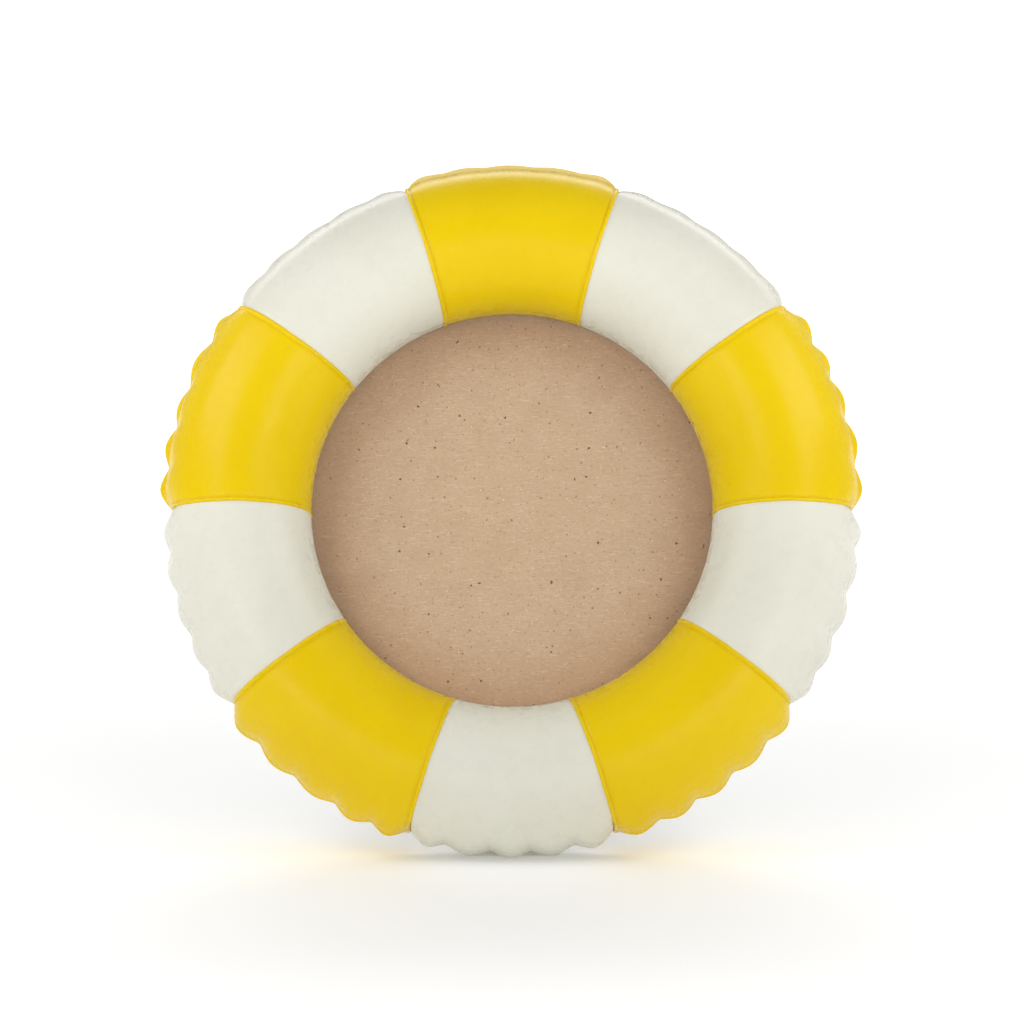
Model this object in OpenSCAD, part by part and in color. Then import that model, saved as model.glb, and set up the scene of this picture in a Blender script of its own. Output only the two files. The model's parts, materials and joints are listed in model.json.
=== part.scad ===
// Round table-top photo frame shaped like a striped swim ring.
// The ring leans back on a hinged easel leg. Its front faces -Y and +Z is up.
// The origin is on the table, straight below the tube's centre line at the ring's lowest point.

/* [Ring] */
// Radius of the tube's centre line
ring_r = 68; // [60:1:76]
// Radius of the tube's round section
tube_r = 18; // [16:0.5:19]
// Depth of the tube behind its centre line, where the back is cut flat
back_depth = 12; // [11:0.5:13]
// Backward lean of the ring from upright
lean = 18; // [12:1:22]
// Furthest reach of the scalloped rim beyond the tube
rim_reach = 1.4; // [0.8:0.1:2]
// Thickness of the rim
rim_t = 1.2; // [0.8:0.1:1.6]
// Number of scallops on the rim of each panel
scallops = 5; // [3:1:7]

/* [Yellow sleeves] */
// Angle that each yellow sleeve spans
sleeve_span = 37.7; // [34:0.1:40]
// Wall of a sleeve
sleeve_wall = 1; // [0.8:0.1:1.4]
// Height of the bead at each end of a sleeve
bead_h = 0.4; // [0.2:0.1:0.6]
// Angle that a bead spans
bead_span = 0.7; // [0.5:0.1:1]

/* [Picture stack] */
// Depth of the rebate's ledge behind the tube's centre line
ledge_depth = 3; // [2:0.5:4]
// Width of the ledge that holds the pane
ledge_w = 4; // [3:0.5:5]
// Thickness of the clear pane
pane_t = 2; // [1.5:0.1:2]
// Thickness of the kraft insert
insert_t = 0.6; // [0.3:0.1:0.8]
// Thickness of the paper on the back board
cover_t = 0.6; // [0.3:0.1:0.8]
// Thickness of the back board
board_t = 3; // [2.5:0.1:3.2]

/* [Turn buttons] */
// Distance of each button's screw outside the rebate that holds the board
button_inset = 6; // [5:0.5:8]
// Length from the screw to the button's far end
button_reach = 12; // [10:0.5:13]
// Width of a button
button_w = 7; // [6:0.5:8]
// Radius of the screw's shank
screw_r = 1.25; // [1:0.05:1.5]

/* [Easel] */
// Height of the hinge pin above the ring's centre, along the board
pin_up = 28; // [24:1:32]
// Distance of the hinge pin's axis behind the board
pin_off = 4; // [3.8:0.1:4.6]
// Radius of the hinge pin
pin_r = 1; // [0.8:0.05:1.2]
// Angle of the open leg from upright
leg_angle = 18; // [14:1:20]
// Width of the leg at the hinge
leg_top_w = 24; // [22:1:28]
// Width of the leg at its foot
leg_foot_w = 34; // [28:1:38]
// Thickness of the leg
leg_t = 3; // [2.6:0.1:3]

/* [Hidden] */
$fn = 96;

cream = [0.93, 0.92, 0.86];
yellow = [0.95, 0.80, 0.10];
kraft = [0.80, 0.67, 0.53];
clear = [0.85, 0.92, 0.95, 0.35];
grey_card = [0.75, 0.73, 0.70];
fibre_board = [0.62, 0.47, 0.33];
black_paper = [0.16, 0.15, 0.15];
steel = [0.70, 0.71, 0.73];
milky_rubber = [0.83, 0.82, 0.77];

// Cutters run past the faces they cut by this much, or are this large.
overrun = 1;
cut_size = 400;

// Placement: the ring's own frame has z out of its face and y up its face.
floor_gap = 0.3;
rim_r = ring_r + tube_r + rim_reach;
ring_y = ring_r * sin(lean);
ring_z = rim_r * cos(lean) + rim_t / 2 * sin(lean) + floor_gap;

// Panels: five yellow ones a fifth of a turn apart, with a cream one after each.
panels = 5;
pitch = 360 / panels;
cream_span = pitch - sleeve_span;
glue_gap = 0.05;
end_gap = 0.03;
rim_trough = 0.3;
rim_inset = 0.2;
bead_inset = 0.05;
bead_short = 0.2;
rim_steps = 6;
waist_r = ring_r - tube_r;
rebate_r = waist_r + ledge_w;
root_step = rim_steps / 2;

// The stack behind the ledge, from front to back.
edge_gap = 0.2;
pane_back = -ledge_depth - pane_t;
insert_back = pane_back - insert_t;
cover_front = -back_depth + cover_t;
board_front = cover_front + board_t;

// Turn buttons and their screws.
button_pitch_r = rebate_r + button_inset;
button_t = 0.8;
button_tail = 4;
button_gap = 0.05;
running_gap = 0.05;
fixed_gap = 0.02;
screw_depth = 6.5;
screw_end_gap = 0.5;
screw_head_r = 2.7;
screw_head_h = 1.3;
button_angles = [45, 135, 225, 315];

// Hinge: sheet metal rolled round one pin, with a tab that stops the leg when open.
metal_t = 0.8;
knuckle_r = 2.2;
knuckle_in = 7.2;
knuckle_out = 14;
leaf_half = 6.9;
leaf_wide_half = 9;
leaf_len = 30;
neck_len = 6;
neck_lap = 1;
plate_len = 24;
sheet_corner_r = 4;
tab_half = 4;
open_angle = lean + leg_angle;
stop_gap = 0.05;
tab_len = (pin_off - metal_t - stop_gap - metal_t / 2 * cos(open_angle)) / sin(open_angle);
pin_y = ring_y + pin_up * sin(lean) + (back_depth + pin_off) * cos(lean);
pin_z = ring_z + pin_up * cos(lean) - (back_depth + pin_off) * sin(lean);
rivet_r = 1.2;
rivet_head_r = 2.4;
rivet_head_h = 0.8;
plate_rivets = [[-8, 20], [8, 20], [0, 12]];
leaf_rivets = [[0, 10], [-5, 23], [5, 23]];

// Leg: its outer face carries the leaf, so it lies just inside the leaf's flat.
leg_outer = knuckle_r - metal_t;
leg_start = 3.2;
leg_reach = pin_z / cos(leg_angle);
foot_lift = 1.6;
pad_wall = 0.9;
foot_pad_h = 6;

// Rubber pad under the ring, let into a flat on the tube behind the rim.
base_w = 24;
base_front = -4.2;
base_back = 5.5;
base_h = 2.4;

module in_ring() {
    translate([0, ring_y, ring_z]) rotate([90 - lean, 0, 0]) children();
}

module on_back() {
    in_ring() translate([0, 0, -back_depth]) mirror([0, 0, 1]) children();
}

module in_leg() {
    translate([0, pin_y, pin_z]) rotate([leg_angle, 0, 0]) children();
}

module disc(r, front, back) {
    in_ring() translate([0, 0, back]) cylinder(r = r, h = front - back);
}

// Section of the tube with a flat back and a straight inner wall.
module tube_section() {
    difference() {
        union() {
            translate([ring_r, 0]) circle(r = tube_r);
            translate([waist_r, -back_depth]) square([tube_r, back_depth]);
        }
        translate([0, -2 * tube_r - back_depth]) square([2 * ring_r, 2 * tube_r]);
        translate([0, -2 * tube_r - ledge_depth]) square([rebate_r, 2 * tube_r]);
    }
}

// Section of a shell round the front of the tube, between two radii about its centre line.
// It runs from the ledge to the back, and goes past both by a chosen length, or stops short.
module shell_section(inner, outer, past) {
    difference() {
        union() {
            translate([ring_r, 0]) circle(r = outer);
            translate([ring_r - outer, -ledge_depth - past]) square([outer, ledge_depth + past]);
        }
        translate([ring_r, 0]) circle(r = inner);
        translate([ring_r - inner, -2 * tube_r]) square([inner, 2 * tube_r]);
        translate([0, -2 * tube_r - ledge_depth - past]) square([ring_r, 2 * tube_r]);
        translate([ring_r, -2 * tube_r - back_depth - past]) square([ring_r, 2 * tube_r]);
    }
}

module sweep(from, span) {
    rotate([0, 0, from]) rotate_extrude(angle = span) children();
}

function rim_point(from, span, t) =
    let (
        r = rim_r - rim_reach + rim_trough
            + (rim_reach - rim_trough) * abs(sin(180 * scallops * t)),
        a = from + span * t
    )
    [r * cos(a), r * sin(a)];

function arc_point(r, a) = [r * cos(a), r * sin(a)];

// Thin scalloped rim over one panel, rooted just inside the tube's surface.
module rim(panel_from, panel_span, inset) {
    from = panel_from + inset;
    span = panel_span - 2 * inset;
    root_r = rim_r - rim_reach - sleeve_wall / 2;
    n = scallops * rim_steps;
    outer = [for (i = [0:n]) rim_point(from, span, i / n)];
    inner = [for (i = [n:-root_step:0]) arc_point(root_r, from + span * i / n)];
    translate([0, 0, -rim_t / 2])
        linear_extrude(rim_t) polygon(concat(outer, inner));
}

module base_block() {
    translate([-base_w / 2, base_front, 0]) cube([base_w, base_back - base_front, base_h]);
}

module ring_casting() {
    color(cream) difference() {
        in_ring() difference() {
            union() {
                rotate_extrude() tube_section();
                for (i = [0:panels - 1])
                    rim(90 + i * pitch + sleeve_span / 2, cream_span, rim_inset);
            }
            for (i = [0:panels - 1])
                sweep(90 + i * pitch - sleeve_span / 2, sleeve_span)
                    shell_section(tube_r - sleeve_wall - glue_gap, tube_r + overrun, overrun);
            for (a = button_angles)
                rotate([0, 0, a]) translate([button_pitch_r, 0, -back_depth - overrun])
                    cylinder(r = screw_r + fixed_gap, h = screw_depth + overrun);
        }
        base_block();
    }
}

module yellow_sleeve(index) {
    from = 90 - index * pitch - sleeve_span / 2 + end_gap;
    span = sleeve_span - 2 * end_gap;
    color(yellow) in_ring() union() {
        sweep(from, span) shell_section(tube_r - sleeve_wall, tube_r, 0);
        for (a = [from + bead_inset, from + span - bead_span - bead_inset])
            sweep(a, bead_span)
                shell_section(tube_r - sleeve_wall / 2, tube_r + bead_h, -bead_short);
        rim(from, span, bead_inset + bead_span + rim_inset);
    }
}

module clear_pane() {
    color(clear) disc(rebate_r - edge_gap, -ledge_depth, pane_back);
}

module kraft_insert() {
    color(kraft) disc(rebate_r - 2 * edge_gap, pane_back, insert_back);
}

module filler_card() {
    color(grey_card) disc(rebate_r - 2 * edge_gap, insert_back, board_front);
}

module plate_rivet_holes() {
    on_back() for (p = plate_rivets)
        translate([p[0], pin_up + p[1], -board_t - cover_t - overrun])
            cylinder(r = rivet_r + fixed_gap, h = board_t + cover_t + 2 * overrun);
}

module back_board() {
    color(fibre_board) difference() {
        disc(rebate_r - 1.5 * edge_gap, board_front, cover_front);
        plate_rivet_holes();
    }
}

module back_cover() {
    color(black_paper) difference() {
        disc(rebate_r - 1.5 * edge_gap, cover_front, -back_depth);
        plate_rivet_holes();
    }
}

// A button points at the ring's centre when it holds the board in.
module turn_button(angle) {
    color(steel) on_back() rotate([0, 0, angle])
        translate([button_pitch_r, 0, button_gap]) difference() {
            linear_extrude(button_t) union() {
                translate([button_w / 2 - button_reach, -button_w / 2])
                    square([button_reach + button_tail - button_w, button_w]);
                translate([button_w / 2 - button_reach, 0]) circle(r = button_w / 2);
                translate([button_tail - button_w / 2, 0]) circle(r = button_w / 2);
            }
            translate([0, 0, -overrun])
                cylinder(r = screw_r + running_gap, h = button_t + 2 * overrun);
        }
}

module turn_button_screws() {
    slot_l = 3.4;
    slot_w = 0.7;
    slot_d = 0.7;
    rounding = 0.5;
    head = button_t + 2 * button_gap;
    color(steel) on_back() for (a = button_angles)
        rotate([0, 0, a]) translate([button_pitch_r, 0, 0]) difference() {
            union() {
                translate([0, 0, -screw_depth + screw_end_gap])
                    cylinder(r = screw_r, h = screw_depth + head);
                translate([0, 0, head])
                    cylinder(r = screw_head_r, h = screw_head_h - rounding);
                translate([0, 0, head + screw_head_h - rounding])
                    cylinder(r1 = screw_head_r, r2 = screw_head_r - rounding, h = rounding);
            }
            for (turn = [0, 90])
                rotate([0, 0, turn])
                    translate([-slot_l / 2, -slot_w / 2, head + screw_head_h - slot_d])
                        cube([slot_l, slot_w, slot_d + overrun]);
        }
}

// A tube along X for a rolled hinge knuckle.
module knuckle(from, to) {
    translate([from, 0, 0]) rotate([0, 90, 0]) cylinder(r = knuckle_r, h = to - from);
}

module pin_bore(r) {
    translate([-knuckle_out - overrun, 0, 0]) rotate([0, 90, 0])
        cylinder(r = r, h = 2 * (knuckle_out + overrun));
}

// Sheet outline with round corners at its far end.
module rounded_tongue(half, from, to, r) {
    union() {
        translate([-half, from]) square([2 * half, to - from - r]);
        translate([-half + r, from]) square([2 * half - 2 * r, to - from]);
        for (side = [-1, 1])
            translate([side * (half - r), to - r]) circle(r = r);
    }
}

module hinge_plate() {
    arm = knuckle_r - metal_t;
    color(steel) on_back() difference() {
        union() {
            linear_extrude(metal_t) translate([0, pin_up])
                rounded_tongue(knuckle_out, arm, plate_len, sheet_corner_r);
            for (side = [-1, 1])
                translate([side * (knuckle_in + knuckle_out) / 2, pin_up + arm + metal_t / 2,
                           pin_off / 2])
                    cube([knuckle_out - knuckle_in, metal_t, pin_off], center = true);
            translate([0, pin_up, pin_off]) {
                knuckle(-knuckle_out, -knuckle_in);
                knuckle(knuckle_in, knuckle_out);
            }
        }
        translate([0, pin_up, pin_off]) pin_bore(pin_r + fixed_gap);
        for (p = plate_rivets)
            translate([p[0], pin_up + p[1], -overrun])
                cylinder(r = rivet_r + fixed_gap, h = metal_t + 2 * overrun);
    }
}

// Low domed rivet head on a flat face, opening towards +Z.
module rivet_head() {
    rounding = 0.4;
    cylinder(r = rivet_head_r, h = rivet_head_h - rounding);
    translate([0, 0, rivet_head_h - rounding])
        cylinder(r1 = rivet_head_r, r2 = rivet_head_r - 2 * rounding, h = rounding);
}

module hinge_plate_rivets() {
    color(steel) on_back() for (p = plate_rivets)
        translate([p[0], pin_up + p[1], 0]) union() {
            translate([0, 0, -board_t - cover_t])
                cylinder(r = rivet_r, h = board_t + cover_t + metal_t);
            translate([0, 0, metal_t]) rivet_head();
        }
}

module hinge_pin() {
    head_t = 0.6;
    color(steel) on_back() translate([0, pin_up, pin_off]) union() {
        translate([-knuckle_out - head_t, 0, 0]) rotate([0, 90, 0])
            cylinder(r = pin_r, h = 2 * (knuckle_out + head_t));
        for (side = [0, 1])
            mirror([side, 0, 0]) translate([knuckle_out + fixed_gap, 0, 0])
                rotate([0, 90, 0]) cylinder(r = pin_r + head_t, h = head_t);
    }
}

// The leg's frame has z up the leg, y out of its outer face, and the pin's axis on X.
module leaf_rivet_holes() {
    for (p = leaf_rivets)
        translate([p[0], -leg_t, -p[1]]) rotate([-90, 0, 0])
            cylinder(r = rivet_r + fixed_gap, h = 2 * leg_t);
}

module hinge_leaf() {
    color(steel) in_leg() difference() {
        union() {
            knuckle(-leaf_half, leaf_half);
            translate([-leaf_half, leg_outer, -neck_len])
                cube([2 * leaf_half, metal_t, neck_len]);
            translate([0, knuckle_r, 0]) rotate([90, 0, 0]) mirror([0, 1, 0])
                linear_extrude(metal_t)
                    rounded_tongue(leaf_wide_half, neck_len - neck_lap, leaf_len, sheet_corner_r);
            translate([-tab_half, -metal_t / 2, 0]) cube([2 * tab_half, metal_t, tab_len]);
        }
        pin_bore(pin_r + running_gap);
        leaf_rivet_holes();
    }
}

module hinge_leaf_rivets() {
    tail_h = 0.5;
    tail_r = 2;
    color(steel) in_leg() for (p = leaf_rivets)
        translate([p[0], knuckle_r, -p[1]]) rotate([-90, 0, 0]) union() {
            translate([0, 0, -metal_t - leg_t]) cylinder(r = rivet_r, h = metal_t + leg_t);
            rivet_head();
            translate([0, 0, -metal_t - leg_t - tail_h]) cylinder(r = tail_r, h = tail_h);
        }
}

// Outline of the leg seen on its outer face, widening to the foot.
module leg_outline(grow) {
    top = leg_top_w / 2 + grow;
    foot = leg_foot_w / 2 + grow;
    corner = 3;
    polygon([
        [-top + corner, -leg_start], [top - corner, -leg_start], [top, -leg_start - corner],
        [foot, -leg_reach - leg_t], [-foot, -leg_reach - leg_t], [-top, -leg_start - corner]
    ]);
}

module leg_slab(grow) {
    translate([0, leg_outer + grow, 0]) rotate([90, 0, 0])
        linear_extrude(leg_t + 2 * grow) leg_outline(grow);
}

// The part of its children between two heights above the table.
module between(low, high) {
    intersection() {
        children();
        translate([-cut_size / 2, -cut_size / 2, low]) cube([cut_size, cut_size, high - low]);
    }
}

module trimmed_leg() {
    between(foot_lift, cut_size) in_leg() leg_slab(0);
}

module easel_leg() {
    color(black_paper) difference() {
        trimmed_leg();
        in_leg() leaf_rivet_holes();
    }
}

// Rubber cap on the leg's foot, cut level with the table.
module leg_foot_pad() {
    color(milky_rubber) difference() {
        between(0, foot_pad_h) in_leg() leg_slab(pad_wall);
        trimmed_leg();
    }
}

module base_pad() {
    color(milky_rubber) base_block();
}

ring_casting();
yellow_sleeve(0);  // yellow_sleeve_top
yellow_sleeve(1);  // yellow_sleeve_right
yellow_sleeve(2);  // yellow_sleeve_lower_right
yellow_sleeve(3);  // yellow_sleeve_lower_left
yellow_sleeve(4);  // yellow_sleeve_left
clear_pane();
kraft_insert();
filler_card();
back_board();
back_cover();
turn_button(button_angles[0]);  // turn_button_upper_right
turn_button(button_angles[1]);  // turn_button_upper_left
turn_button(button_angles[2]);  // turn_button_lower_left
turn_button(button_angles[3]);  // turn_button_lower_right
turn_button_screws();
hinge_plate();
hinge_plate_rivets();
hinge_pin();
hinge_leaf();
hinge_leaf_rivets();
easel_leg();
leg_foot_pad();
base_pad();
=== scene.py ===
"""Looks for a round photo frame in the form of a striped swim ring: painted resin ring, clear pane,
kraft insert and easel back. Lengths are in metres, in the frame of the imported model."""

import json
import math

import bpy
import numpy as np
from mathutils import Matrix, Vector


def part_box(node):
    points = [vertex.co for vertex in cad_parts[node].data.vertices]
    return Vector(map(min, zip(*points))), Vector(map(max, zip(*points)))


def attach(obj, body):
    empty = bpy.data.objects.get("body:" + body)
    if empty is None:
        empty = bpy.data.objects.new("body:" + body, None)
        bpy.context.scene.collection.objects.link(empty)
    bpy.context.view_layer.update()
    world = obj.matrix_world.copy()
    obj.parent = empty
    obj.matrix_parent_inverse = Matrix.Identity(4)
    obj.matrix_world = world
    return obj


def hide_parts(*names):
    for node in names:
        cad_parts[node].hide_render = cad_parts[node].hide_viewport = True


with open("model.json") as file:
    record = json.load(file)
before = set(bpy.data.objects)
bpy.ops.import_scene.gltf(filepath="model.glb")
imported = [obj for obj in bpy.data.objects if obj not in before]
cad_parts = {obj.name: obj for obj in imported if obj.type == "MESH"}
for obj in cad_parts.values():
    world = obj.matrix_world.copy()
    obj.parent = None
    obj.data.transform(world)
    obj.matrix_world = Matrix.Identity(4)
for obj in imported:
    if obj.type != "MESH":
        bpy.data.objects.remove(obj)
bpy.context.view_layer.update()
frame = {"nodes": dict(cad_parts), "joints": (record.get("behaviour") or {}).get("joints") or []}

MM = 0.001

# ---------------------------------------------------------------- driving dimensions

RING_R = 68 * MM              # radius of the tube's centre line
TUBE_R = 18 * MM              # radius of the tube's section
BACK_DEPTH = 12 * MM          # flat back behind the centre line
BACK_EDGE = 0.6 * MM          # how far the flat back stops short of the tube's edge
LEDGE_DEPTH = 3 * MM          # ledge behind the centre line
LEDGE_W = 4 * MM
REBATE_EDGE = 0.4 * MM        # bevel where the rebate meets the back
PANE_T = 2 * MM
WALL = 1 * MM                 # wall of a yellow sleeve
GLUE = 0.05 * MM
PANELS = 5
PITCH = math.tau / PANELS
WAIST_R = RING_R - TUBE_R

# Half the angle that a yellow sleeve spans, at the rim, at the front and at the waist.
HALF_SPAN = [math.radians(a) for a in (18.6, 18.9, 20.0)]

LOBES = 5                     # scallops on the rim of each panel
SWELL_LOW = 1.15 * MM         # how far the tube swells at a scallop on the lowest panels
SWELL_HIGH = 0.2 * MM         # the same on the topmost panel
TROUGH = 0.25 * MM            # how far the tube is drawn in between scallops
FLANGE_LOW = 0.4 * MM         # how far the thin rim stands out on the lowest panels
FLANGE_HIGH = 1.45 * MM       # the same on the topmost panel
CREAM_FLANGE = 0.3            # a cream panel's rim as a share of a yellow one's
FLANGE_HALF_T = 0.55 * MM
FLANGE_WANDER = 0.25 * MM     # how far the rim's line wanders from the equator
PUCKER_RUN = math.radians(38)
CORNER_DROP = 2.3 * MM        # how far a panel's corner falls away at a seam
CORNER_W = 6.0 * MM
CORNER_RUN = math.radians(42)
BEAD_H = 0.36 * MM
BEAD_W = 0.95 * MM
BEAD_RISE = 0.45              # tube angle from the rim over which a bead rises to its full height
BEAD_SINK = (2.6, 3.1)        # tube angles between which it sinks to half its height at the waist
GROOVE_H = 0.16 * MM
GROOVE_W = 0.4 * MM
SEAM_H = 0.12 * MM            # how far a cream panel dips at a seam
SEAM_W = 0.5 * MM
MIDDLE_COLUMNS = 96           # columns of the mesh between a panel's ends
RECESS_COLUMNS = 12           # the same in the recess under a sleeve, which is out of sight


# ---------------------------------------------------------------- the ring's own frame

def ring_matrix():
    """Places the ring's frame, z out of its face and y up it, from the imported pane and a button's axis."""
    swivel = next(j for j in frame["joints"] if j["name"].startswith("button_"))
    face = -Vector(swivel["axis"]).normalized()
    across = Vector((1, 0, 0))
    up = face.cross(across)
    low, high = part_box("clear_pane")
    centre = (low + high) / 2 + face * (LEDGE_DEPTH + PANE_T / 2)
    turn = Matrix((across, up, face)).transposed().to_4x4()
    return Matrix.Translation(centre) @ turn


RING = ring_matrix()
RING_CENTRE = RING.translation
RING_FACE = RING.to_3x3() @ Vector((0, 0, 1))
LEAN = math.asin(RING_FACE.z)


# ---------------------------------------------------------------- mesh helpers

def new_piece(name, points, faces, matrix=None, sharp_deg=38):
    """A smooth-shaded mesh object with creases where faces meet at more than an angle."""
    mesh = bpy.data.meshes.new(name)
    mesh.from_pydata(np.asarray(points, float).reshape(-1, 3).tolist(), [], faces)
    if matrix is not None:
        mesh.transform(matrix)
    mesh.validate()
    mesh.polygons.foreach_set("use_smooth", [True] * len(mesh.polygons))
    mesh.set_sharp_from_angle(angle=math.radians(sharp_deg))
    piece = bpy.data.objects.new(name, mesh)
    bpy.context.scene.collection.objects.link(piece)
    return piece


def grid_faces(rows, columns, wrap=False):
    """Quads over a grid of rows by columns whose points run along a row first."""
    ends = columns if wrap else columns - 1
    quads = []
    for i in range(rows - 1):
        for j in range(ends):
            a, b = i * columns + j, i * columns + (j + 1) % columns
            quads.append((a, b, b + columns, a + columns))
    return quads


def smooth(x):
    """The smooth step from 0 to 1 over 0..1."""
    x = np.clip(x, 0, 1)
    return x * x * (3 - 2 * x)


# ---------------------------------------------------------------- the ring's surface

class Panel:
    """One painted panel of the ring: where it lies round the ring, and how its rim is scalloped."""

    def __init__(self, middle, yellow, seed):
        draw = np.random.default_rng(seed)
        self.middle, self.yellow = middle, yellow
        widths = 1 + draw.uniform(-0.13, 0.13, LOBES)
        self.edges = np.concatenate([[0], np.cumsum(widths) / widths.sum()])
        self.heights = 1 + draw.uniform(-0.22, 0.18, LOBES)
        self.wander = draw.uniform(-1, 1, LOBES)
        self.depths = 1 + draw.uniform(-0.35, 0.35, LOBES + 1)
        height = (1 + math.sin(middle)) / 2
        self.swell = SWELL_LOW + (SWELL_HIGH - SWELL_LOW) * height
        self.trough = TROUGH * (1.1 - height)
        self.flange = FLANGE_LOW + (FLANGE_HIGH - FLANGE_LOW) * height
        if not yellow:
            self.flange *= CREAM_FLANGE
        self.flange_fill = 0.15 + 0.75 * math.sin(middle) ** 2

    def half(self, theta):
        """Half the panel's angle round the ring at a tube angle, 0 at the rim and pi at the waist."""
        away = np.abs(theta) / math.pi
        rim, front, waist = HALF_SPAN
        half = np.where(away < 0.5, rim + (front - rim) * smooth(2 * away),
                        front + (waist - front) * (2 * away - 1))
        return half if self.yellow else PITCH / 2 - half

    def lobe(self, t):
        """The scallop's height, from 0 between two scallops to 1, and its rim's line, at a share t."""
        t = np.clip(t, 0, 1)
        k = np.clip(np.searchsorted(self.edges, t, side="right") - 1, 0, LOBES - 1)
        inside = (t - self.edges[k]) / (self.edges[k + 1] - self.edges[k])
        # A full arch with a narrow foot on each side; the offsets bring it back to 0 and 1.
        arch = (np.sqrt(np.sin(math.pi * inside) ** 2 + 0.03) - 0.17) / 0.845
        line = self.wander[k] * np.sin(math.pi * inside)
        pucker = np.where(inside < 0.5, self.depths[k], self.depths[k + 1])
        return np.clip(arch, 0, 1), self.heights[k], line, pucker

    def radius(self, theta, t, from_end):
        """The tube's radius at tube angles, shares across the panel and distances from its nearer end."""
        arch, height, line, pucker = self.lobe(t)
        away = np.abs(theta)
        ramp = 1 - smooth(away / PUCKER_RUN)
        swell = self.swell * height * arch - self.trough * pucker * (1 - arch)
        near = np.clip(1 - from_end / CORNER_W, 0, 1)
        round_off = 1 - np.sqrt(np.maximum(1 - near ** 2, 0))
        r = TUBE_R + swell * ramp * (1 - near ** 2)
        r = r - CORNER_DROP * round_off * (1 - smooth(away / CORNER_RUN))
        filled = self.flange_fill + (1 - self.flange_fill) * height * arch
        reach = self.flange * filled * (1 - near ** 2)
        off = np.abs(theta * TUBE_R - FLANGE_WANDER * line) / FLANGE_HALF_T
        r = r + reach / (1 + off ** 3)
        if self.yellow:
            bump = np.sqrt(np.clip(1 - (2 * from_end / BEAD_W - 1) ** 2, 0, 1))
            dip = np.exp(-((from_end - BEAD_W - GROOVE_W / 2) / (GROOVE_W / 2)) ** 2)
            sunk = smooth((away - BEAD_SINK[0]) / (BEAD_SINK[1] - BEAD_SINK[0]))
            full = smooth(away / BEAD_RISE) * (1 - 0.5 * sunk)
            r = r + BEAD_H * bump * full - GROOVE_H * dip * full
        else:
            r = r - SEAM_H * np.exp(-(from_end / SEAM_W) ** 2)
        return r


def tube_angles():
    """Tube angles from the back's outer edge round the rim and the front to the waist, dense at the rim."""
    back = -math.asin(BACK_DEPTH / TUBE_R)
    fine = 0.16 * MM / TUBE_R
    rim = np.arange(-13, 14) * fine
    behind = np.linspace(back, rim[0], 16, endpoint=False)
    ahead = np.linspace(rim[-1], math.pi / 4, 22)[1:]
    front = np.linspace(math.pi / 4, math.pi, 46)[1:]
    return np.concatenate([behind, rim, ahead, front])


def end_steps():
    """Distances from a panel's end where its columns lie, closest together over the bead and the groove."""
    bead = np.linspace(0, BEAD_W, 9)
    groove = np.linspace(BEAD_W, BEAD_W + GROOVE_W, 6)[1:]
    corner = np.linspace(BEAD_W + GROOVE_W, CORNER_W, 9)[1:]
    return np.concatenate([bead, groove, corner])


THETA = tube_angles()
WALL_STEPS = np.linspace(0, LEDGE_DEPTH, 5)[1:]


def panel_columns(panel, middle_count, ends):
    """For each column and tube angle: angle round the ring, share across the panel, distance from its end."""
    half = panel.half(THETA)
    reach = RING_R + TUBE_R * np.cos(THETA)
    rows = [-half + d / reach for d in ends]
    for f in np.linspace(0, 1, middle_count + 2)[1:-1]:
        rows.append(-half + ends[-1] / reach + f * (2 * half - 2 * ends[-1] / reach))
    rows += [half - d / reach for d in ends[::-1]]
    angle = np.array(rows)
    share = (angle + half) / (2 * half)
    from_end = np.minimum(angle + half, half - angle) * reach
    return angle, share, np.maximum(from_end, 0)


def ring_points(rho, w, angle):
    """Points of the ring's frame from a distance off its axis, a height off its plane and an angle."""
    rho, w, angle = np.broadcast_arrays(rho, w, angle)
    return np.stack([rho * np.cos(angle), rho * np.sin(angle), w], axis=-1)


def outer_skin(panel, angle, share, from_end, inset=0.0):
    """Columns of points over a panel, from the back edge round the front and down to the ledge."""
    r = panel.radius(THETA[None, :], share, from_end)
    if inset:
        r = np.minimum(r, TUBE_R) - inset
    turned = panel.middle + angle
    height = np.maximum(r * np.sin(THETA), -BACK_DEPTH)
    skin = ring_points(RING_R + r * np.cos(THETA), height, turned)
    waist = RING_R - r[:, -1:]
    wall = ring_points(waist, -WALL_STEPS[None, :], turned[:, -1:])
    return np.concatenate([skin, wall], axis=1)


def make_sleeve(name, panel):
    """A closed shell over one yellow panel."""
    angle, share, from_end = panel_columns(panel, MIDDLE_COLUMNS, end_steps())
    outer = outer_skin(panel, angle, share, from_end)
    inner = outer_skin(panel, angle, share, from_end, inset=WALL)
    columns, rows = outer.shape[:2]
    n = columns * rows
    faces = grid_faces(columns, rows)
    faces += [tuple(n + v for v in reversed(f)) for f in grid_faces(columns, rows)]
    for j in (0, rows - 1):
        for i in range(columns - 1):
            a, b = i * rows + j, (i + 1) * rows + j
            faces.append((a, b, b + n, a + n) if j == 0 else (b, a, a + n, b + n))
    for i in (0, columns - 1):
        for j in range(rows - 1):
            a, b = i * rows + j, i * rows + j + 1
            faces.append((b, a, a + n, b + n) if i == 0 else (a, b, b + n, a + n))
    points = np.concatenate([outer.reshape(-1, 3), inner.reshape(-1, 3)])
    return new_piece(name, points, [tuple(reversed(f)) for f in faces], RING)


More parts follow.
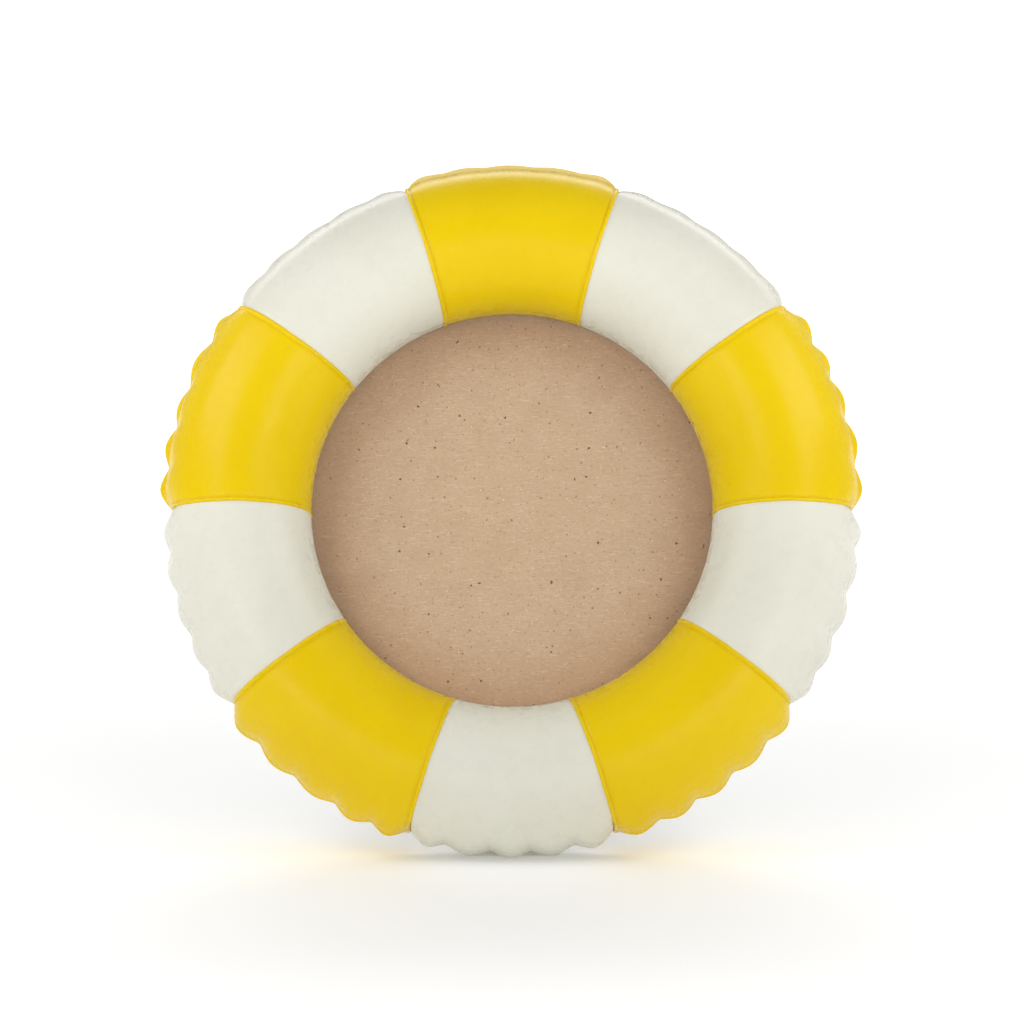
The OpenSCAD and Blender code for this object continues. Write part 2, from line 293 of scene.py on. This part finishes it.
def make_casting(name, creams, yellows):
    """The closed cream casting: full panels between the sleeves, and a recess under each sleeve."""
    strips = []
    for cream, yellow in zip(creams, yellows):
        angle, share, from_end = panel_columns(cream, MIDDLE_COLUMNS, end_steps())
        strips.append(outer_skin(cream, angle, share, from_end))
        angle, share, from_end = panel_columns(yellow, RECESS_COLUMNS, np.zeros(1))
        strips.append(outer_skin(yellow, angle, share, from_end, inset=WALL + GLUE))
    skin = np.concatenate(strips)
    turn = np.arctan2(skin[:, -1, 1], skin[:, -1, 0])
    rebate = WAIST_R + LEDGE_W
    first = skin[:, 0, :]
    edge = np.hypot(first[:, 0], first[:, 1])
    turn_back = np.arctan2(first[:, 1], first[:, 0])
    back_rows = [
        ring_points(rebate, -LEDGE_DEPTH, turn),
        ring_points(rebate, -BACK_DEPTH + REBATE_EDGE, turn),
        ring_points(rebate + REBATE_EDGE, -BACK_DEPTH, turn),
        ring_points(RING_R, -BACK_DEPTH, turn_back),
        ring_points(edge - BACK_EDGE, -BACK_DEPTH, turn_back),
    ]
    loop = np.concatenate([skin] + [row[:, None, :] for row in back_rows], axis=1)
    columns, rows = loop.shape[:2]
    count = columns * rows
    faces = [tuple(v % count for v in f) for f in grid_faces(columns + 1, rows, wrap=True)]
    return new_piece(name, loop.reshape(-1, 3), [tuple(reversed(f)) for f in faces], RING)


# ---------------------------------------------------------------- flat pieces

def rounded_rim(front, back, edge, steps=5):
    """Insets and heights from a slab's front to its back, with both edges rounded."""
    turn = np.linspace(0, math.pi / 2, steps)
    inset = edge * (1 - np.sin(turn))
    drop = edge * (1 - np.cos(turn))
    return np.concatenate([inset, inset[::-1]]), np.concatenate([front - drop, back + drop[::-1]])


def make_disc(name, radius, front, back, edge):
    """A round slab in the ring's frame with softened edges."""
    around, rings = 180, 24
    inset, height = rounded_rim(front, back, edge)
    rho = np.concatenate([np.linspace(0.03, 1, rings) * (radius - edge), radius - inset[1:]])
    w = np.concatenate([np.full(rings, front), height[1:]])
    angle = np.linspace(0, math.tau, around, endpoint=False)
    points = ring_points(rho[:, None], w[:, None], angle[None, :])
    faces = [tuple(reversed(f)) for f in grid_faces(len(rho), around, wrap=True)]
    faces.append(tuple(range(around)))
    faces.append(tuple(reversed(range((len(rho) - 1) * around, len(rho) * around))))
    return new_piece(name, points, faces, RING)


def rounded_box_outline(half_x, low_y, high_y, corner, steps=7):
    """Points round a rectangle with round corners, anticlockwise."""
    points = []
    centres = [(half_x - corner, high_y - corner, 0), (corner - half_x, high_y - corner, 1),
               (corner - half_x, low_y + corner, 2), (half_x - corner, low_y + corner, 3)]
    for x, y, quarter in centres:
        for a in np.linspace(quarter, quarter + 1, steps) * math.pi / 2:
            points.append((x + corner * math.cos(a), y + corner * math.sin(a)))
    return np.array(points)


def make_loft(name, loops, matrix=None):
    """A closed solid through loops of equally many points, from the lowest loop to the highest."""
    count = len(loops[0])
    faces = grid_faces(len(loops), count, wrap=True)
    faces.append(tuple(reversed(range(count))))
    faces.append(tuple(range((len(loops) - 1) * count, len(loops) * count)))
    return new_piece(name, np.concatenate(loops), faces, matrix)


def offset_outline(outline, inset):
    """An anticlockwise outline moved inwards by an inset along its corners' mean normals."""
    before, after = np.roll(outline, 1, axis=0), np.roll(outline, -1, axis=0)
    along = after - before
    normal = np.stack([along[:, 1], -along[:, 0]], axis=1)
    normal /= np.linalg.norm(normal, axis=1, keepdims=True)
    return outline - normal * inset


def make_slab(name, outline, low, high, edge, matrix):
    """An outline extruded from a low height to a high one with rounded edges."""
    # The rim runs downwards, so a negative edge turns its profile over.
    inset, height = rounded_rim(low, high, -edge)
    loops = []
    for step, w in zip(-inset, height):
        flat = offset_outline(outline, step)
        loops.append(np.column_stack([flat, np.full(len(flat), w)]))
    return make_loft(name, loops, matrix)


# ---------------------------------------------------------------- node-tree helpers

class Nodes:
    """A material's tree with short calls for the nodes that the materials share."""

    def __init__(self, name):
        self.material = bpy.data.materials.new(name)
        self.material.use_nodes = True
        self.tree = self.material.node_tree
        self.tree.nodes.clear()
        self.output = self.add("ShaderNodeOutputMaterial")
        self.coordinates = self.add("ShaderNodeTexCoord").outputs["Object"]

    def add(self, kind, **settings):
        node = self.tree.nodes.new(kind)
        for key, value in settings.items():
            setattr(node, key, value)
        return node

    def link(self, source, target):
        self.tree.links.new(source, target)

    def value(self, socket, given):
        """Links a socket to another node's output, or sets it to a number or a vector."""
        if isinstance(given, bpy.types.NodeSocket):
            self.link(given, socket)
        else:
            socket.default_value = given

    def colour(self, socket, given):
        """The same for a colour, which is given without its alpha."""
        self.value(socket, given if isinstance(given, bpy.types.NodeSocket) else (*given, 1))

    def scaled(self, scale, turn=(0, 0, 0), source=None):
        node = self.add("ShaderNodeMapping")
        node.inputs["Scale"].default_value = scale
        node.inputs["Rotation"].default_value = turn
        self.link(source or self.coordinates, node.inputs["Vector"])
        return node.outputs["Vector"]

    def noise(self, scale, detail=3.0, rough=0.5, vector=None, distort=0.0):
        node = self.add("ShaderNodeTexNoise")
        node.inputs["Scale"].default_value = scale
        node.inputs["Detail"].default_value = detail
        node.inputs["Roughness"].default_value = rough
        node.inputs["Distortion"].default_value = distort
        self.link(vector or self.coordinates, node.inputs["Vector"])
        return node.outputs["Fac"]

    def cells(self, scale, vector=None, feature="F1", output="Distance"):
        node = self.add("ShaderNodeTexVoronoi", feature=feature, voronoi_dimensions="2D" if vector else "3D")
        node.inputs["Scale"].default_value = scale
        self.link(vector or self.coordinates, node.inputs["Vector"])
        return node.outputs[output]

    def distance(self, point):
        node = self.add("ShaderNodeVectorMath", operation="DISTANCE")
        self.link(self.coordinates, node.inputs[0])
        node.inputs[1].default_value = point
        return node.outputs["Value"]

    def rim_share(self, radius):
        """0 near the ring's centre, rising to 1 at a radius from it."""
        return self.mapped(self.distance(RING_CENTRE), 0.62 * radius, 1.02 * radius)

    def crest_highlight_mask(self):
        """1 on the topmost part of the ring's thin rim, and 0 on its tube and its sides: where a painted
        highlight goes.
        """
        height = self.add("ShaderNodeSeparateXYZ")
        self.link(self.coordinates, height.inputs[0])
        edge = RING_R + TUBE_R
        rim = self.mapped(self.distance(RING_CENTRE), edge + 0.1 * MM, edge + 0.7 * MM)
        top = RING_CENTRE.z + RING_R * math.cos(LEAN)
        upper = self.mapped(height.outputs["Z"], top - 4 * MM, top + 9 * MM)
        return self.math("MULTIPLY", rim, upper)

    def mapped(self, source, low, high, to_low=0.0, to_high=1.0):
        """Eases from one value to another while the source runs from low to high."""
        node = self.add("ShaderNodeMapRange", interpolation_type="SMOOTHSTEP")
        for key, given in (("From Min", low), ("From Max", high), ("To Min", to_low), ("To Max", to_high)):
            node.inputs[key].default_value = given
        self.link(source, node.inputs["Value"])
        return node.outputs["Result"]

    def math(self, operation, a, b=0.0):
        node = self.add("ShaderNodeMath", operation=operation)
        self.value(node.inputs[0], a)
        self.value(node.inputs[1], b)
        return node.outputs[0]

    def mix(self, share, a, b, blend="MIX"):
        node = self.add("ShaderNodeMix", data_type="RGBA", blend_type=blend)
        self.value(node.inputs[0], share)
        self.colour(node.inputs[6], a)
        self.colour(node.inputs[7], b)
        return node.outputs[2]

    def bump(self, height, distance, strength=1.0, normal=None):
        node = self.add("ShaderNodeBump")
        node.inputs["Strength"].default_value = strength
        node.inputs["Distance"].default_value = distance
        self.link(height, node.inputs["Height"])
        if normal is not None:
            self.link(normal, node.inputs["Normal"])
        return node.outputs["Normal"]

    def principled(self, colour, roughness, normal=None, **sockets):
        node = self.add("ShaderNodeBsdfPrincipled")
        self.colour(node.inputs["Base Color"], colour)
        self.value(node.inputs["Roughness"], roughness)
        if normal is not None:
            self.link(normal, node.inputs["Normal"])
        for key, given in sockets.items():
            self.value(node.inputs[key.replace("_", " ")], given)
        self.link(node.outputs[0], self.output.inputs["Surface"])
        return node


# ---------------------------------------------------------------- materials

PAINT_SPECULAR = 0.17
# Each paint's colour, the deeper colour it drifts to, and its paler colour on the crest of the topmost rim, a
# painted highlight for the light from above.
YELLOW_PAINT = ((0.765, 0.540, 0.0008), (0.740, 0.512, 0.0004), (0.86, 0.66, 0.27))
CREAM_PAINT = ((0.715, 0.705, 0.612), (0.690, 0.678, 0.580), (0.76, 0.75, 0.67))

PALE_FIBRE = (0.71, 0.55, 0.39)
DARK_FIBRE = (0.46, 0.30, 0.174)
# Each lay of fibres: its turn, how far it is drawn out, and its colour.
FIBRES = [(0.35, 9.0, PALE_FIBRE), (1.45, 11.0, DARK_FIBRE), (2.55, 8.0, PALE_FIBRE)]
# Each kind of fleck: its pattern's scale, its size within a cell, the share of cells left out, its colour.
FLECKS = [
    (115, 0.026, 0.55, (0.13, 0.075, 0.04)),
    (210, 0.040, 0.55, (0.30, 0.17, 0.09)),
    (430, 0.075, 0.48, (0.42, 0.265, 0.15)),
    (390, 0.050, 0.60, (0.76, 0.60, 0.43)),
]


def painted_resin(name, colour, deep, crest):
    """Satin paint on cast resin: slow colour drift, faint orange peel, fine uneven gloss, and a painted
    highlight: the crest of the topmost rim painted pale, standing in for the light from above."""
    n = Nodes(name)
    drift = n.mapped(n.noise(38, 4, 0.55), 0.36, 0.68)
    body = n.mix(drift, colour, deep)
    # Painted highlight: the crest of the topmost rim is paler, standing in for the light from above that
    # catches it.
    body = n.mix(n.math("MULTIPLY", n.crest_highlight_mask(), 0.85), body, crest)
    gloss = n.mapped(n.noise(260, 4, 0.6), 0.3, 0.7, 0.25, 0.32)
    peel = n.bump(n.noise(900, 2, 0.5), 0.006 * MM, 0.5)
    slow = n.bump(n.noise(90, 2, 0.5), 0.02 * MM, 0.5, peel)
    n.principled(body, gloss, slow, Specular_IOR_Level=PAINT_SPECULAR)
    return n.material


def kraft_board():
    """Brown kraft board: cloudy pulp, pressed fibres, scattered flecks, and painted shade: a darker, redder
    rim where the ring's recess shades it.
    """
    n = Nodes("kraft_board")
    flat = n.scaled((1, 1, 1), (LEAN - math.pi / 2, 0, 0))
    cloud = n.mapped(n.noise(110, 6, 0.62, flat), 0.3, 0.7)
    fine = n.mapped(n.noise(1300, 4, 0.65, flat), 0.3, 0.7)
    body = n.mix(cloud, (0.566, 0.406, 0.257), (0.617, 0.450, 0.292))
    body = n.mix(n.math("MULTIPLY", fine, 0.6), body, (0.522, 0.348, 0.212))
    height = fine
    for turn, stretch, colour in FIBRES:
        lie = n.scaled((1, stretch, 1), (0, 0, turn), flat)
        strands = n.mapped(n.noise(420, 3, 0.55, lie, 0.5), 0.60, 0.70)
        body = n.mix(n.math("MULTIPLY", strands, 0.7), body, colour)
        height = n.math("ADD", height, n.math("MULTIPLY", strands, 0.5))
    for scale, size, kept_from, colour in FLECKS:
        ragged = n.math("MULTIPLY", n.math("SUBTRACT", n.noise(1500, 2, 0.5, flat), 0.5), 0.16)
        spot = n.math("ADD", n.cells(scale, flat), ragged)
        spot = n.mapped(spot, size * 0.7, size * 1.3, 1, 0)
        kept = n.mapped(n.cells(scale, flat, output="Color"), kept_from, kept_from + 0.04)
        body = n.mix(n.math("MULTIPLY", spot, kept), body, colour)
    # Painted shade: the board darkens and reddens towards its rim, where the recess and its yellow wall shade
    # it.
    body = n.mix(n.rim_share(WAIST_R), body, (0.92, 0.80, 0.72), "MULTIPLY")
    n.principled(body, 0.86, n.bump(height, 0.05 * MM, 0.55), Specular_IOR_Level=0.2)
    return n.material


def clear_sheet():
    """Clear polished plastic with faint waves in its gloss."""
    n = Nodes("clear_sheet")
    gloss = n.mapped(n.noise(80, 3), 0.3, 0.7, 0.015, 0.035)
    n.principled((0.985, 0.992, 0.99), gloss, n.bump(n.noise(25, 2), 0.01 * MM, 0.2),
                 Transmission_Weight=1.0, IOR=1.45)
    return n.material


def plated_steel():
    """Bright zinc plate with fine rolling marks and dull spots."""
    n = Nodes("plated_steel")
    marks = n.noise(900, 3, 0.6, n.scaled((14, 1, 1)))
    spots = n.mapped(n.noise(420, 4, 0.6), 0.45, 0.75)
    body = n.mix(spots, (0.70, 0.71, 0.73), (0.52, 0.53, 0.56))
    gloss = n.math("ADD", n.mapped(marks, 0.3, 0.7, 0.24, 0.36), n.math("MULTIPLY", spots, 0.12))
    n.principled(body, gloss, n.bump(marks, 0.01 * MM, 0.5), Metallic=1.0)
    return n.material


def fibre_board():
    """Plain fibre board: a fine mottle of light and dark fibres."""
    n = Nodes("fibre_board")
    grain = n.noise(900, 5, 0.7)
    body = n.mix(n.mapped(grain, 0.3, 0.7), (0.36, 0.24, 0.14), (0.52, 0.38, 0.25))
    n.principled(body, 0.82, n.bump(grain, 0.06 * MM, 0.6), Specular_IOR_Level=0.25)
    return n.material


def grey_card():
    """Soft grey packing card with a fine pulp grain."""
    n = Nodes("grey_card")
    pulp = n.noise(1100, 5, 0.7)
    body = n.mix(n.mapped(pulp, 0.3, 0.7), (0.50, 0.48, 0.44), (0.62, 0.60, 0.56))
    n.principled(body, 0.88, n.bump(pulp, 0.04 * MM, 0.5), Specular_IOR_Level=0.2)
    return n.material


def cover_paper(name):
    """Black paper embossed with a fine pebble grain, rubbed paler on its high spots."""
    n = Nodes(name)
    pebble = n.cells(1250, feature="SMOOTH_F1")
    high = n.mapped(pebble, 0.1, 0.55, 1, 0)
    worn = n.mapped(n.noise(60, 4, 0.6), 0.5, 0.75)
    body = n.mix(high, (0.016, 0.016, 0.017), (0.045, 0.044, 0.043))
    body = n.mix(n.math("MULTIPLY", worn, 0.4), body, (0.075, 0.073, 0.07))
    gloss = n.mapped(n.noise(300, 3), 0.3, 0.7, 0.52, 0.68)
    n.principled(body, gloss, n.bump(high, 0.07 * MM, 0.7), Specular_IOR_Level=0.35)
    return n.material


def pad_rubber():
    """Milky soft rubber with a fine matt grain and a little dust."""
    n = Nodes("pad_rubber")
    dust = n.mapped(n.noise(500, 5, 0.65), 0.5, 0.8)
    body = n.mix(n.math("MULTIPLY", dust, 0.5), (0.66, 0.64, 0.56), (0.50, 0.48, 0.42))
    gloss = n.mapped(n.noise(700, 3), 0.3, 0.7, 0.45, 0.62)
    n.principled(body, gloss, n.bump(n.noise(1600, 3), 0.03 * MM, 0.5), Specular_IOR_Level=0.35)
    return n.material


def floor_paint():
    """Matt white sweep, lit from below away from the object, as on a light table."""
    n = Nodes("floor_paint")
    drift = n.noise(2.5, 3)
    body = n.mix(n.mapped(drift, 0.3, 0.7), (0.90, 0.90, 0.895), (0.91, 0.91, 0.905))
    glow = n.mapped(n.distance((0, 0, 0)), 0.07, 0.60, 0.18, 0.66)
    n.principled(body, 0.6, n.bump(n.noise(400, 3), 0.02 * MM, 0.3), Specular_IOR_Level=0.1,
                 Emission_Color=(1, 1, 1, 1), Emission_Strength=glow)
    return n.material


def wear(piece, material):
    """Gives a piece a material in place of any that it has."""
    piece.data.materials.clear()
    piece.data.materials.append(material)


# ---------------------------------------------------------------- pieces

SLEEVES = ["top", "left", "lower_left", "lower_right", "right"]


def stand_for(piece, body, node, material):
    """Finishes a piece: its material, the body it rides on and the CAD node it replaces."""
    wear(piece, material)
    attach(piece, body)
    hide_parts(node)


def make_ring():
    """The cream casting, and a yellow sleeve over each of its recesses."""
    yellows = [Panel(math.pi / 2 + i * PITCH, True, 11 + i) for i in range(PANELS)]
    creams = [Panel(y.middle - PITCH / 2, False, 31 + i) for i, y in enumerate(yellows)]
    yellow = painted_resin("yellow_paint", *YELLOW_PAINT)
    cream = painted_resin("cream_paint", *CREAM_PAINT)
    for side, panel in zip(SLEEVES, yellows):
        sleeve = make_sleeve(f"ring_yellow_{side}", panel)
        stand_for(sleeve, "frame", f"yellow_sleeve_{side}", yellow)
    casting = make_casting("ring_cream", creams, yellows)
    stand_for(casting, "frame", "ring_casting", cream)


# Each sheet behind the ledge, from front to back: its name, CAD node and slot, its radius and thickness,
# the gap taken off its front, and the rounding of its edges.
STACK = [
    ("pane", "clear_pane", "clear_pane", 53.8 * MM, PANE_T, 0, 0.25 * MM),
    ("kraft_disc", "kraft_insert", "kraft_paper", 53.6 * MM, 0.6 * MM, 0.02 * MM, 0.15 * MM),
    ("packing_card", "filler_card", "grey_card", 53.6 * MM, 2.8 * MM, 0.02 * MM, 0.3 * MM),
    ("board", "back_board", "fibre_board", 53.7 * MM, 3.0 * MM, 0.02 * MM, 0.3 * MM),
    ("board_paper", "back_cover", "cover_paper", 53.7 * MM, 0.6 * MM, 0, 0.25 * MM),
]


def make_stack():
    """The pane, the kraft insert, the packing card, the back board and its paper."""
    materials = [clear_sheet(), kraft_board(), grey_card(), fibre_board(), cover_paper("cover_paper")]
    front = -LEDGE_DEPTH
    for (name, node, slot, radius, thickness, gap, edge), material in zip(STACK, materials):
        sheet = make_disc(name, radius, front - gap, front - thickness, edge)
        stand_for(sheet, "frame", node, material)
        sheet.visible_shadow = name != "pane"
        front -= thickness


LEG_ANGLE = math.radians(18)  # of the open leg from upright
LEG_OUTER = 1.4 * MM          # from the pin's axis to the leg's outer face
LEG_T = 3 * MM
LEG_START = 3.2 * MM          # from the pin's axis down to the leg's top edge
LEG_TOP_HALF = 12 * MM
LEG_FOOT_HALF = 17 * MM
FOOT_LIFT = 1.6 * MM          # of the leg board above the table
PAD_WALL = 0.9 * MM
LEG_EDGE = 0.45 * MM
LEG_CORNER = 4 * MM
FOOT_CORNER = 0.6 * MM
PAD_CORNER = 1.1 * MM
# The foot pad's side from the table up: heights, and how far each lies in, with two grip lines.
PAD_HEIGHTS = np.array([0, 0.15, 0.5, 1.4, 1.6, 1.8, 2.0, 3.0, 3.2, 3.4, 3.6, 5.3, 5.75, 5.94, 6.0]) * MM
PAD_INSETS = np.array([0.6, 0.25, 0, 0, 0.18, 0.18, 0, 0, 0.18, 0.18, 0, 0, 0.12, 0.35, 0.7]) * MM
# The base pad's front edge, its corners, and shares of its height with how far each lies in.
BASE_FRONT = -1.5 * MM
BASE_CORNER = 1.5 * MM
BASE_SIDE = [(0, 0.5 * MM), (0.06, 0.2 * MM), (0.2, 0), (0.9, 0), (1, 0.25 * MM)]


def pin_centre():
    """The middle of the hinge pin."""
    return Vector(next(j for j in frame["joints"] if j["name"] == "easel_hinge")["pos_m"])


def leg_half_width(down):
    """Half the leg's width at a distance down it from the pin."""
    reach = pin_centre().z / math.cos(LEG_ANGLE) + LEG_T
    share = (down - LEG_START) / (reach - LEG_START)
    return LEG_TOP_HALF + (LEG_FOOT_HALF - LEG_TOP_HALF) * share


def round_corners(corners, radii, steps=6):
    """A polygon with its corners cut by smooth curves."""
    points = []
    for i, (corner, radius) in enumerate(zip(corners, radii)):
        before = (corners[i - 1] - corner).normalized() * radius
        after = (corners[(i + 1) % len(corners)] - corner).normalized() * radius
        for t in np.linspace(0, 1, steps):
            bend = before * (1 - t) ** 2 + after * t ** 2
            points.append(corner + bend)
    return np.array(points)


def make_leg():
    """The leg board, in a frame with x across it, y up it and z out of its outer face."""
    pin = pin_centre()
    up = Vector((0, -math.sin(LEG_ANGLE), math.cos(LEG_ANGLE)))
    out = Vector((0, math.cos(LEG_ANGLE), math.sin(LEG_ANGLE)))
    turn = Matrix((Vector((-1, 0, 0)), up, out)).transposed().to_4x4()
    foot = (pin.z - FOOT_LIFT) / math.cos(LEG_ANGLE) - FOOT_CORNER
    top_half, foot_half = leg_half_width(LEG_START), leg_half_width(foot)
    corners = [Vector((foot_half, -foot)), Vector((top_half, -LEG_START)),
               Vector((-top_half, -LEG_START)), Vector((-foot_half, -foot))]
    outline = round_corners(corners, (FOOT_CORNER, LEG_CORNER, LEG_CORNER, FOOT_CORNER))
    place = Matrix.Translation(pin) @ turn
    leg = make_slab("leg_board", outline, LEG_OUTER - LEG_T, LEG_OUTER, LEG_EDGE, place)
    stand_for(leg, "leg", "easel_leg", cover_paper("leg_paper"))


def make_foot_pad():
    """The rubber cap on the leg's foot: a level sleeve with round edges and two grip lines."""
    pin = pin_centre()
    lean_run = math.tan(LEG_ANGLE)
    half_t = (LEG_T / 2 + PAD_WALL) / math.cos(LEG_ANGLE)
    loops = []
    for z, inset in zip(PAD_HEIGHTS, PAD_INSETS):
        down = (pin.z - z) / math.cos(LEG_ANGLE)
        middle = pin.y + (pin.z - z) * lean_run + (LEG_OUTER - LEG_T / 2) / math.cos(LEG_ANGLE)
        half = leg_half_width(down) + PAD_WALL - inset
        flat = rounded_box_outline(half, middle - half_t + inset, middle + half_t - inset, PAD_CORNER)
        loops.append(np.column_stack([flat, np.full(len(flat), z)]))
    stand_for(make_loft("foot_cap", loops), "leg", "leg_foot_pad", pad_rubber())


def make_base_pad():
    """The soft pad that the ring rests on, set back from the rim so that it doesn't show."""
    low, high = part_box("base_pad")
    top = high.z - low.z
    loops = []
    for share, inset in BASE_SIDE:
        flat = rounded_box_outline(high.x - inset, BASE_FRONT + inset, high.y - inset, BASE_CORNER)
        loops.append(np.column_stack([flat, np.full(len(flat), low.z + top * share)]))
    stand_for(make_loft("base_bumper", loops), "frame", "base_pad", pad_rubber())


def dress_cad_nodes():
    """Gives every CAD node that still shows the plated steel: the buttons, screws, rivets and hinge."""
    steel = plated_steel()
    for node in frame["nodes"].values():
        if not node.hide_render:
            wear(node, steel)


def make_floor():
    """A plain sweep that runs past the camera on every side."""
    size = 40.0
    points = [(-size, -size, 0), (size, -size, 0), (size, size, 0), (-size, size, 0)]
    floor = new_piece("floor", points, [(0, 1, 2, 3)])
    wear(floor, floor_paint())


# ---------------------------------------------------------------- light and camera

# A white surround, dim in front and bright behind, with soft boxes on it: azimuth to the right of the
# camera, elevation, half width and half height in degrees, and the brightness added.
SURROUND_FRONT = 0.31
SURROUND_BACK = 0.40
SOFT_BOXES = [
    (29, 14, 12, 7, 2.8),
    (-29, 14, 12, 7, 2.8),
    (0, 6, 42, 8, 1.2),
    (0, 66, 30, 10, 0.3),
    (180, 36, 36, 9, 3.5),
]
BOX_EDGE = 0.3
SEEN_WHITE = 1.02


def direction(azimuth, elevation):
    """The unit vector towards an azimuth, to the right of the camera, and an elevation in degrees."""
    a, e = math.radians(azimuth), math.radians(elevation)
    return Vector((math.sin(a) * math.cos(e), -math.cos(a) * math.cos(e), math.sin(e)))


class Studio:
    """The world's node tree, with short calls for the nodes that its light is made of."""

    def __init__(self, world):
        world.use_nodes = True
        self.tree = world.node_tree
        self.tree.nodes.clear()
        self.look = self.tree.nodes.new("ShaderNodeTexCoord").outputs["Generated"]

    def math(self, operation, *given):
        node = self.tree.nodes.new("ShaderNodeMath")
        node.operation = operation
        for socket, value in zip(node.inputs, given):
            if isinstance(value, bpy.types.NodeSocket):
                self.tree.links.new(value, socket)
            else:
                socket.default_value = value
        return node.outputs[0]

    def along(self, axis):
        node = self.tree.nodes.new("ShaderNodeVectorMath")
        node.operation = "DOT_PRODUCT"
        self.tree.links.new(self.look, node.inputs[0])
        node.inputs[1].default_value = axis
        return node.outputs["Value"]

    def ramp(self, source, low, high, to_low, to_high):
        node = self.tree.nodes.new("ShaderNodeMapRange")
        node.interpolation_type = "SMOOTHSTEP"
        self.tree.links.new(source, node.inputs["Value"])
        for key, given in (("From Min", low), ("From Max", high), ("To Min", to_low), ("To Max", to_high)):
            node.inputs[key].default_value = given
        return node.outputs["Result"]

    def box(self, azimuth, elevation, half_w, half_h, brightness):
        """A far-off rectangle with soft edges."""
        ahead = direction(azimuth, elevation)
        side = ahead.cross(Vector((0, 0, 1))).normalized()
        forward = self.math("MAXIMUM", self.along(ahead), 0.001)
        mask = brightness
        for axis, half in ((side, half_w), (side.cross(ahead), half_h)):
            reach = math.tan(math.radians(half))
            offset = self.math("ABSOLUTE", self.math("DIVIDE", self.along(axis), forward))
            edge = self.ramp(offset, reach * (1 - BOX_EDGE), reach * (1 + BOX_EDGE), 1, 0)
            mask = self.math("MULTIPLY", edge, mask)
        return mask


def make_light():
    """An even white seen by the camera, and the studio's light for everything else."""
    world = bpy.data.worlds.new("studio")
    bpy.context.scene.world = world
    studio = Studio(world)
    total = studio.ramp(studio.along((0, 1, 0)), -0.4, 0.5, SURROUND_FRONT, SURROUND_BACK)
    for box in SOFT_BOXES:
        total = studio.math("ADD", total, studio.box(*box))
    seen = studio.tree.nodes.new("ShaderNodeLightPath").outputs["Is Camera Ray"]
    lit = studio.math("MULTIPLY", total, studio.math("SUBTRACT", 1.0, seen))
    background = studio.tree.nodes.new("ShaderNodeBackground")
    background.inputs["Color"].default_value = (1, 1, 1, 1)
    strength = studio.math("ADD", lit, studio.math("MULTIPLY", seen, SEEN_WHITE))
    studio.tree.links.new(strength, background.inputs["Strength"])
    output = studio.tree.nodes.new("ShaderNodeOutputWorld")
    studio.tree.links.new(background.outputs[0], output.inputs["Surface"])


# Two lamps close to the ring's sides: azimuth and elevation from its centre, distance, size and brightness.
LAMP_AZIMUTH = 68
LAMP_ELEVATION = 34
LAMP_DISTANCE = 300 * MM
LAMP_SIZE = (240 * MM, 100 * MM)
LAMP_BRIGHTNESS = 3.7


def make_lamps():
    """A soft lamp on each side, out of the camera's sight."""
    for side in (-1, 1):
        data = bpy.data.lights.new("side_lamp", "AREA")
        data.shape = "RECTANGLE"
        data.size, data.size_y = LAMP_SIZE
        data.energy = LAMP_BRIGHTNESS * math.pi * data.size * data.size_y
        lamp = bpy.data.objects.new("side_lamp", data)
        bpy.context.scene.collection.objects.link(lamp)
        towards = direction(side * LAMP_AZIMUTH, LAMP_ELEVATION)
        lamp.location = RING_CENTRE + towards * LAMP_DISTANCE
        lamp.rotation_mode = "QUATERNION"
        lamp.rotation_quaternion = towards.to_track_quat("Z", "Y")
        lamp.visible_camera = False


CAMERA_ELEVATION = 8
LENS = 250
AIM_BELOW = 0.8 * MM
FRAME_WIDTH = 255 * MM     # what the picture spans at the ring


def make_camera():
    """A long lens a little above the ring, aimed just below its centre."""
    camera = bpy.data.objects.new("camera", bpy.data.cameras.new("camera"))
    bpy.context.scene.collection.objects.link(camera)
    camera.data.lens = LENS
    back = direction(0, CAMERA_ELEVATION)
    aim = RING_CENTRE - Vector((0, 0, AIM_BELOW))
    camera.location = aim + back * (FRAME_WIDTH * LENS / camera.data.sensor_width)
    camera.rotation_mode = "QUATERNION"
    camera.rotation_quaternion = (-back).to_track_quat("-Z", "Y")
    bpy.context.scene.camera = camera


make_camera()
make_ring()
make_stack()
make_leg()
make_foot_pad()
make_base_pad()
dress_cad_nodes()
make_floor()
make_light()
make_lamps()
bpy.context.scene.view_settings.view_transform = "Standard"
